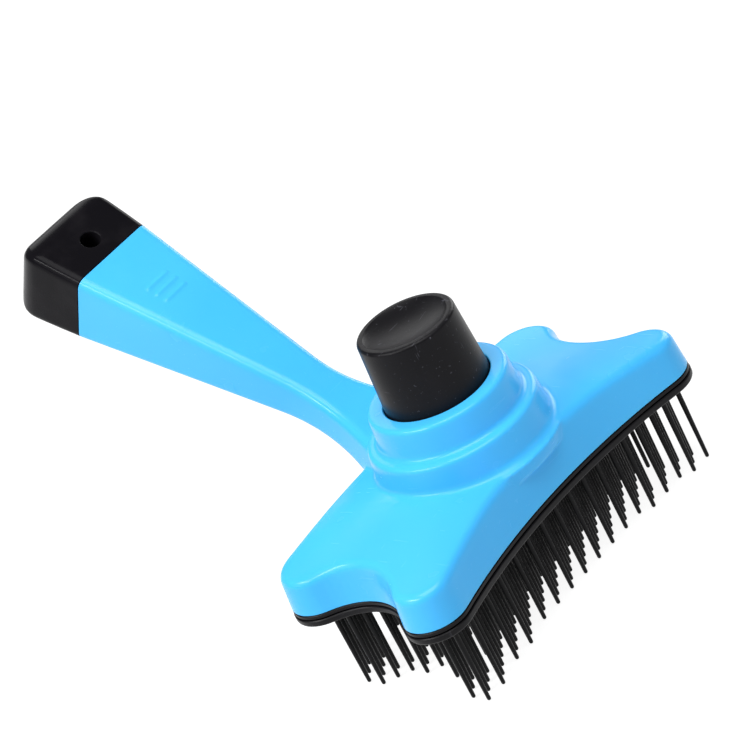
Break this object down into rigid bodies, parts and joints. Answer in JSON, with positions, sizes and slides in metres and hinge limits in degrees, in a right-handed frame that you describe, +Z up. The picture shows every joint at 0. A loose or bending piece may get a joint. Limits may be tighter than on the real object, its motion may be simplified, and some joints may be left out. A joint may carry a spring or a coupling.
{
  "type": "slicker brush",
  "caption": "Bone-headed slicker brush with blunt moulded pins, a push button that drives a stripper plate down them, a spring return and a tilted handle with a capped end.",
  "frame": {"origin": "on the surface under the pin tips, at the middle of the bounding box seen from above", "axes": "+Z up from the pin tips to the button, +Y from the head towards the handle's end, X across the head"},
  "size_m": [0.1066, 0.1542, 0.0996],
  "materials": {
    "sky_blue_plastic": "glossy moulded ABS",
    "black_gloss_plastic": "glossy moulded plastic",
    "black_satin_plastic": "satin moulded plastic",
    "zinc_plated_steel": "bright zinc plating"
  },
  "bodies": {
    "brush": {"body_shell": "sky_blue_plastic", "handle_cap": "black_gloss_plastic", "pin_plate": "black_satin_plastic", "return_spring": "zinc_plated_steel", "pin_plate_screw_1": "zinc_plated_steel", "pin_plate_screw_2": "zinc_plated_steel", "pin_plate_screw_3": "zinc_plated_steel", "pin_plate_screw_4": "zinc_plated_steel"},
    "ejector": {"push_button": "black_satin_plastic", "plunger": "black_satin_plastic", "button_screw": "zinc_plated_steel", "ejector_plate": "black_satin_plastic", "ejector_screw_1": "zinc_plated_steel", "ejector_screw_2": "zinc_plated_steel", "ejector_screw_3": "zinc_plated_steel", "ejector_screw_4": "zinc_plated_steel"}
  },
  "joints": [
    {"name": "button_press", "type": "slide", "parent": "brush", "child": "ejector", "axis": [0, 0, -1], "range_m": [0, 0.016], "stiffness_N_per_m": 250, "springref_m": -0.012, "deforming": ["return_spring"]}
  ]
}
